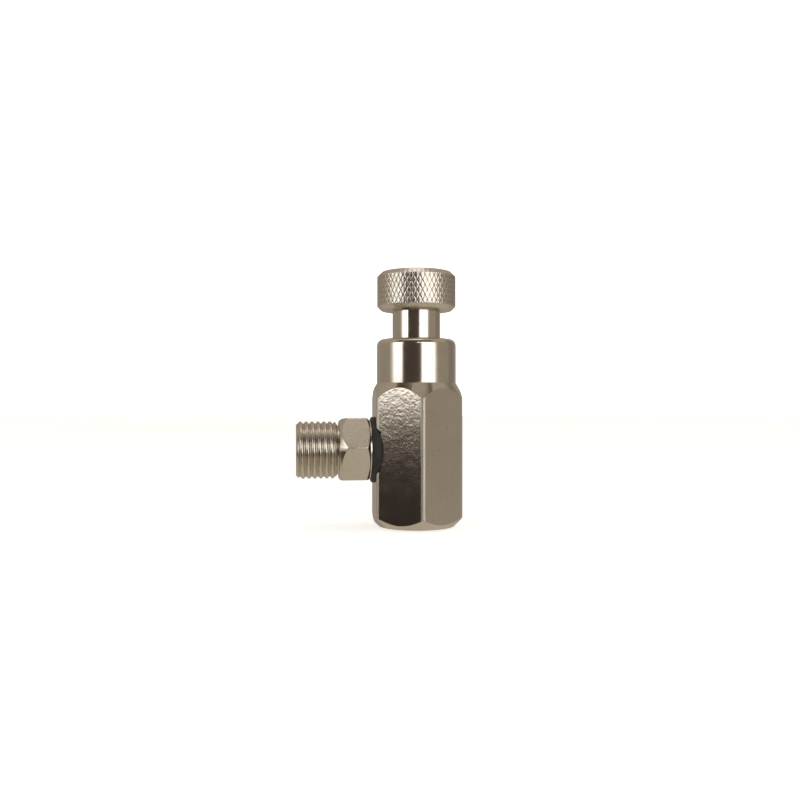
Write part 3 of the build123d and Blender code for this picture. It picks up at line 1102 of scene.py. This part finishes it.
@dataclass
class Knob:
    """Diamond-knurled knob, its socket screw and the split washer under the screw."""

    shop: Workshop
    extent: Extent = field(default_factory=lambda: Extent.of("knob"))
    screw: Extent = field(default_factory=lambda: Extent.of("knob_screw"))
    washer: Extent = field(default_factory=lambda: Extent.of("knob_lock_washer"))
    starts: int = 48
    diamond_height: float = 2.35
    knurl_depth: float = 0.07
    land_share: float = 2.8
    samples: int = 12
    top_chamfer: float = 1.15
    bottom_chamfer: float = 1.0
    bore_r: float = 4.05
    bore_flats: float = 6.7
    web: tuple[float, float] = (57.9, 59.0)
    web_hole_r: float = 1.7
    recess_r: float = 4.2
    washer_inner: float = 1.75
    washer_gap: float = math.radians(12)
    shank_r: float = 1.45
    head_r: float = 2.75
    socket_apothem: float = 1.247
    socket_floor: float = 60.1

    def knurl(self, heights: Array, angles: Array) -> tuple[Array, Array]:
        """Depth of the diamond knurl, and how near each point is to where two grooves cross.

        Two families of V grooves climb to the left and to the right. Each point has a distance
        from the nearest groove of each family, 0 in the groove and 1 midway. The depth is 1 where
        the smaller distance is 0, and falls to 0 on the land; the crossing is the product of one
        less each distance.
        """
        around = angles[None, :] * self.starts / TURN
        up = heights / self.diamond_height
        left = 1 - np.abs(np.mod(around + up, 1.0) - 0.5) * 2
        right = 1 - np.abs(np.mod(around - up, 1.0) - 0.5) * 2
        depth = 1 - np.clip(np.minimum(left, right) * self.land_share, 0.0, 1.0)
        return depth, (1 - left) * (1 - right)

    def rim(self, angles: Array) -> Rows:
        """Knurled rim between its two chamfers.

        The blank's radius is the least of the rim's and the two cones'. The knurl is cut into it to
        its full depth on the rim, and fades out down both chamfers.
        """
        outer = float(self.extent.high[0])
        low, high = float(self.extent.low[2]), float(self.extent.high[2])
        count = round((high - low) / self.diamond_height * self.samples * 2)
        heights = np.linspace(low + 0.08, high - 0.08, count)[:, None] + 0 * angles[None, :]
        depth, crossing = self.knurl(heights, angles)
        below = outer - self.bottom_chamfer + (heights - low)
        above = outer - self.top_chamfer + (high - heights)
        blank = np.minimum(outer, np.minimum(below, above))
        cut = np.clip(1 - 0.8 * (outer - above) / self.top_chamfer, 0.0, 1.0)
        cut = cut * np.clip(1 - 2.5 * (outer - below) / self.bottom_chamfer, 0.0, 1.0)
        return constant_rows(blank - self.knurl_depth * depth * cut, heights, 1.0, crossing * cut)

    def knob(self) -> None:
        """Knob with its recess and two-flat bore."""
        angles = ring_angles(self.starts * self.samples)
        outer = float(self.extent.high[0])
        low, high = float(self.extent.low[2]), float(self.extent.high[2])
        bore = two_flat_radius(angles, self.bore_r, self.bore_flats)
        web_low, web_high = self.web
        under = [
            Corner(bore, web_low),
            Corner(bore, low),
            Corner(outer - self.bottom_chamfer - 0.1, low),
        ]
        top = [
            Corner(outer - self.top_chamfer - 0.12, high, 0.0),
            Corner(self.recess_r + 0.3, high, 0.08),
            Corner(self.recess_r, high - 0.3, 0.08, hollow=0.2),
            Corner(self.recess_r, web_high, 0.0, hollow=0.3),
            Corner(self.web_hole_r, web_high, 0.0, hollow=0.5),
            Corner(self.web_hole_r, web_low, 0.0, hollow=0.3),
        ]
        columns = len(angles)
        rows = stacked(outline_rows(under, columns, 1), self.rim(angles), outline_rows(top, columns, 2))
        piece = build_mesh("knob_piece", rows, Sweep(angles), on_stem)
        self.shop.finish(piece, "knob", Body.SPINDLE, "knob_nickel")

    def lock_washer(self) -> None:
        """Split spring washer whose ends slope."""
        outer = float(self.washer.high[1])
        low, high = float(self.washer.low[2]), float(self.washer.high[2])
        angles = np.linspace(self.washer_gap / 2, TURN - self.washer_gap / 2, 97)
        corners = [
            Corner(self.washer_inner, low, 0.06),
            Corner(outer, low, 0.06),
            Corner(outer, high, 0.06),
            Corner(self.washer_inner, high, 0.06),
        ]
        rows = outline_rows(corners, len(angles), 3)
        piece = build_mesh("knob_lock_washer_piece", rows, Sweep(angles, True, lean=0.25), on_stem)
        self.shop.finish(piece, "knob_lock_washer", Body.SPINDLE, "spring_steel")

    def knob_screw(self) -> None:
        """Socket-head screw: a threaded shank, an eased head and a hexagon socket."""
        angles = ring_angles(96)
        low, high = float(self.screw.low[2]), float(self.screw.high[2])
        seat = float(self.washer.high[2])
        thread = Thread(pitch=0.5, depth=0.28, low=low + 0.35, high=seat - 1.6, samples=8)
        heights = thread.heights(angles)
        groove = thread.groove(heights, angles)
        radius = np.minimum(self.shank_r - thread.depth * groove, self.shank_r - 0.35 + heights - thread.low)
        shank = constant_rows(radius, heights, 1.0, 0.8 * groove)
        socket = hexagon_radius(angles, self.socket_apothem, 0.08)
        point = [Corner(0.0, low), Corner(self.shank_r - 0.35, low)]
        head = [
            Corner(self.shank_r, thread.high, 0.0),
            Corner(self.shank_r, seat, 0.05),
            Corner(self.head_r, seat, 0.06),
            Corner(self.head_r, high, 0.35),
            Corner(socket + 0.14, high, 0.04),
            Corner(socket, high - 0.14, 0.04, hollow=0.6),
            Corner(socket, self.socket_floor, 0.0, hollow=0.8),
            Corner(0.0, self.socket_floor - 0.25, hollow=0.8),
        ]
        columns = len(angles)
        rows = stacked(outline_rows(point, columns, 1), shank, outline_rows(head, columns, 4))
        piece = build_mesh("knob_screw_piece", rows, Sweep(angles), on_stem)
        self.shop.finish(piece, "knob_screw", Body.SPINDLE, "screw_steel")

    def build(self) -> None:
        """Makes the knob and what holds it."""
        self.knob()
        self.lock_washer()
        self.knob_screw()


# ---- studio ----


@dataclass(frozen=True)
class Panel:
    """A card of light or shade round the object, seen by reflections and not by the camera.

    Azimuth is in degrees from the camera's direction, to the right positive; height is the angle
    above level. fade is how many degrees the card takes to fade in at its left edge, its right edge
    and its upper and lower edges, and the fade follows the given power.
    """

    name: str
    azimuth: tuple[float, float]
    height: tuple[float, float]
    glow: float
    fade: tuple[float, float, float] = (1.5, 1.5, 1.5)
    power: float = 1.0
    distance: float = 0.8
    colour: Colour = (1.0, 1.0, 1.0)

    def cover(self, across: Array, up: Array) -> Array:
        """How solid the card is at each azimuth and height: 0 at its edges, 1 inside."""
        left, right, level = self.fade
        sides = np.minimum((across - self.azimuth[0]) / left, (self.azimuth[1] - across) / right)
        ends = np.minimum(up - self.height[0], self.height[1] - up) / level
        return np.clip(np.minimum(sides, ends), 0.0, 1.0) ** self.power


SHADE: Colour = (1.0, 0.76, 0.64)
WARM: Colour = (1.0, 0.87, 0.74)


@dataclass
class Studio:
    """Pale floor, white surroundings, soft light and the camera. Lengths are in millimetres."""

    camera_azimuth: float = math.radians(-97)
    eye_height: float = 30.7
    distance: float = 207.0
    aim_offset: float = -3.97
    lens: float = 38.25
    wall_radius: float = 1400.0
    room: Colour = (0.367, 0.325, 0.271)
    ceiling: Colour = (0.49, 0.437, 0.36)
    table: Colour = (0.56, 0.51, 0.42)
    panels: tuple[Panel, ...] = (
        Panel("left_softbox", (-89.0, -39.5), (-0.6, 28.0), 2.2, (22.0, 2.5, 1.7), 3.0),
        Panel("right_softbox", (9.5, 64.0), (-8.0, 28.0), 2.2, (7.0, 13.0, 2.5), 2.0),
        Panel("top_strip", (0.0, 26.0), (13.5, 27.0), 2.0, (4.0, 4.0, 2.0)),
        Panel("overhead_softbox", (-180.0, 180.0), (76.0, 90.0), 2.0, (0.1, 0.1, 4.0)),
        Panel("camera_shade", (-42.0, 16.0), (-26.0, 34.0), 0.075, distance=0.9, colour=SHADE),
        Panel("upper_shade", (-75.0, 60.0), (31.0, 58.0), 0.08, (6.0, 6.0, 3.0), colour=SHADE),
        Panel("low_left_shade", (-78.0, -36.0), (-60.0, 0.4), 0.036, (3.0, 3.0, 5.2), distance=0.7, colour=SHADE),
        Panel("left_back_fill", (-182.0, -150.0), (-40.0, 50.0), 0.36, (8.0, 8.0, 8.0), colour=WARM),
        Panel("right_back_shade", (100.0, 145.0), (-30.0, 40.0), 0.27, (12.0, 12.0, 8.0), colour=WARM),
    )

    @property
    def toward_camera(self) -> Vector:
        """Level unit vector from the stem axis towards the camera."""
        return Vector((math.cos(self.camera_azimuth), math.sin(self.camera_azimuth), 0.0))

    @staticmethod
    def emission(name: str, strength: float, colour: Colour, cover: bool) -> bpy.types.Material:
        """Material that glows, and fades out where its cover mark falls to 0."""
        material = bpy.data.materials.new(name)
        material.use_nodes = True
        tree = material.node_tree
        tree.nodes.clear()
        output = tree.nodes.new("ShaderNodeOutputMaterial")
        light = tree.nodes.new("ShaderNodeEmission")
        light.inputs["Color"].default_value = (*colour, 1.0)
        light.inputs["Strength"].default_value = strength
        surface = light.outputs[0]
        if cover:
            mark = tree.nodes.new("ShaderNodeAttribute")
            mark.attribute_name = "cover"
            clear = tree.nodes.new("ShaderNodeBsdfTransparent")
            mix = tree.nodes.new("ShaderNodeMixShader")
            tree.links.new(mark.outputs["Fac"], mix.inputs[0])
            tree.links.new(clear.outputs[0], mix.inputs[1])
            tree.links.new(surface, mix.inputs[2])
            surface = mix.outputs[0]
        tree.links.new(surface, output.inputs["Surface"])
        return material

    def card(self, panel: Panel) -> None:
        """Makes a panel as a patch of a sphere.

        A point is distance times (cos h cos a, cos h sin a, sin h), for azimuth a and height h.
        """
        low, high = panel.height
        start, end = panel.azimuth
        across = np.linspace(start, end, 60)[None, :]
        up = np.linspace(low, high, 60)[:, None]
        angle = self.camera_azimuth + np.radians(across) + 0 * up
        height = np.radians(up) + 0 * across
        level = np.cos(height)
        unit = np.stack([level * np.cos(angle), level * np.sin(angle), np.sin(height)], -1)
        points = unit.reshape(-1, 3) * panel.distance + np.array([0, 0, self.eye_height * MM])
        index = np.arange(3600).reshape(60, 60)
        quads = np.stack([index[:-1, :-1], index[1:, :-1], index[1:, 1:], index[:-1, 1:]], -1)
        mesh = bpy.data.meshes.new(panel.name)
        mesh.from_pydata(points.tolist(), [], quads.reshape(-1, 4).tolist())
        values = panel.cover(across, up).astype(np.float32).ravel()
        mesh.attributes.new("cover", "FLOAT", "POINT").data.foreach_set("value", values)
        mesh.materials.append(self.emission(panel.name, panel.glow, panel.colour, cover=True))
        card = bpy.data.objects.new(panel.name, mesh)
        bpy.context.scene.collection.objects.link(card)
        card.visible_camera = False
        card.visible_shadow = False

    def world(self) -> None:
        """Room light that changes from the table's colour, through the room's, to the ceiling's."""
        world = bpy.data.worlds.new("room")
        bpy.context.scene.world = world
        world.use_nodes = True
        tree = world.node_tree
        where = tree.nodes.new("ShaderNodeTexCoord")
        split = tree.nodes.new("ShaderNodeSeparateXYZ")
        ramp = tree.nodes.new("ShaderNodeValToRGB")
        shift = tree.nodes.new("ShaderNodeMapRange")
        shift.inputs["From Min"].default_value = -1.0
        tree.links.new(where.outputs["Generated"], split.inputs[0])
        tree.links.new(split.outputs["Z"], shift.inputs["Value"])
        tree.links.new(shift.outputs[0], ramp.inputs[0])
        stops = ((0.15, self.table), (0.42, self.room), (0.6, self.room), (0.88, self.ceiling))
        while len(ramp.color_ramp.elements) < len(stops):
            ramp.color_ramp.elements.new(0.5)
        for element, (position, colour) in zip(ramp.color_ramp.elements, stops):
            element.position = position
            element.color = (*colour, 1.0)
        tree.links.new(ramp.outputs[0], tree.nodes["Background"].inputs["Color"])

    def surroundings(self) -> None:
        """Pale floor and white dome, seen by the camera; reflections look past them."""
        floor_profile = [(0.001, 0.0), (250.0, 0.0), (self.wall_radius, 0.0)]
        sweep = np.radians(np.linspace(0, 89.9, 24))
        dome_profile = [(self.wall_radius * math.cos(t), self.wall_radius * math.sin(t)) for t in sweep]
        for name, profile, strength in (("floor", floor_profile, 0.66), ("backdrop", dome_profile, 1.05)):
            radius = np.array([p[0] for p in profile])[:, None]
            height = np.array([p[1] for p in profile])[:, None]
            angles = ring_angles(96)[None, :]
            grid = np.stack([radius * np.cos(angles), radius * np.sin(angles), height + 0 * angles], -1)
            index = np.arange(radius.size * angles.size).reshape(radius.size, angles.size)
            quads = np.stack([index[:-1, :-1], index[1:, :-1], index[1:, 1:], index[:-1, 1:]], -1)
            mesh = bpy.data.meshes.new(name)
            mesh.from_pydata((grid.reshape(-1, 3) * MM).tolist(), [], quads.reshape(-1, 4).tolist())
            sheet = bpy.data.objects.new(name, mesh)
            bpy.context.scene.collection.objects.link(sheet)
            sheet.visible_glossy = False
            sheet.visible_shadow = False
            sheet.visible_diffuse = False
            mesh.materials.append(self.sheet_material(name, strength))

    @staticmethod
    def sheet_material(name: str, strength: float) -> bpy.types.Material:
        """White sheet with a glow of its own, clear from its back so that the underside can be seen."""
        material = bpy.data.materials.new(name)
        material.use_nodes = True
        tree = material.node_tree
        tree.nodes.clear()
        output = tree.nodes.new("ShaderNodeOutputMaterial")
        paper = tree.nodes.new("ShaderNodeBsdfDiffuse")
        paper.inputs["Color"].default_value = (0.86, 0.86, 0.86, 1.0)
        glow = tree.nodes.new("ShaderNodeEmission")
        glow.inputs["Strength"].default_value = strength
        both = tree.nodes.new("ShaderNodeAddShader")
        clear = tree.nodes.new("ShaderNodeBsdfTransparent")
        side = tree.nodes.new("ShaderNodeNewGeometry")
        mix = tree.nodes.new("ShaderNodeMixShader")
        tree.links.new(paper.outputs[0], both.inputs[0])
        tree.links.new(glow.outputs[0], both.inputs[1])
        tree.links.new(side.outputs["Backfacing"], mix.inputs[0])
        tree.links.new(both.outputs[0], mix.inputs[1])
        tree.links.new(clear.outputs[0], mix.inputs[2])
        tree.links.new(mix.outputs[0], output.inputs["Surface"])
        return material

    def camera(self) -> None:
        """Level camera, square on to the front of the valve."""
        toward = self.toward_camera
        right = Vector((-toward.y, toward.x, 0.0))
        data = bpy.data.cameras.new("camera")
        data.lens = self.lens
        data.sensor_width = 36.0
        data.clip_start = 0.005
        data.clip_end = 5.0
        camera = bpy.data.objects.new("camera", data)
        bpy.context.scene.collection.objects.link(camera)
        place = Vector((0.0, 0.0, self.eye_height)) + toward * self.distance + right * self.aim_offset
        camera.location = place * MM
        camera.rotation_mode = "QUATERNION"
        camera.rotation_quaternion = (-toward).to_track_quat("-Z", "Y")
        bpy.context.scene.camera = camera

    def build(self) -> None:
        """Sets up the whole studio."""
        self.world()
        self.surroundings()
        for panel in self.panels:
            self.card(panel)
        self.camera()
        bpy.context.scene.view_settings.view_transform = "Standard"


def main() -> None:
    """Builds the valve piece by piece, then the studio."""
    logging.basicConfig(level=logging.INFO, format="%(name)s: %(message)s")
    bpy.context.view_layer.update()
    shop = Workshop(Finishes())
    ValveBody(shop).build()
    Seat(shop).build()
    Packing(shop).build()
    OutletNipple(shop).build()
    Spindle(shop).build()
    NeedleSet(shop).build()
    Knob(shop).build()
    Studio().build()
    log.info("%d pieces made", shop.count)


if __name__ == "__main__":
    main()
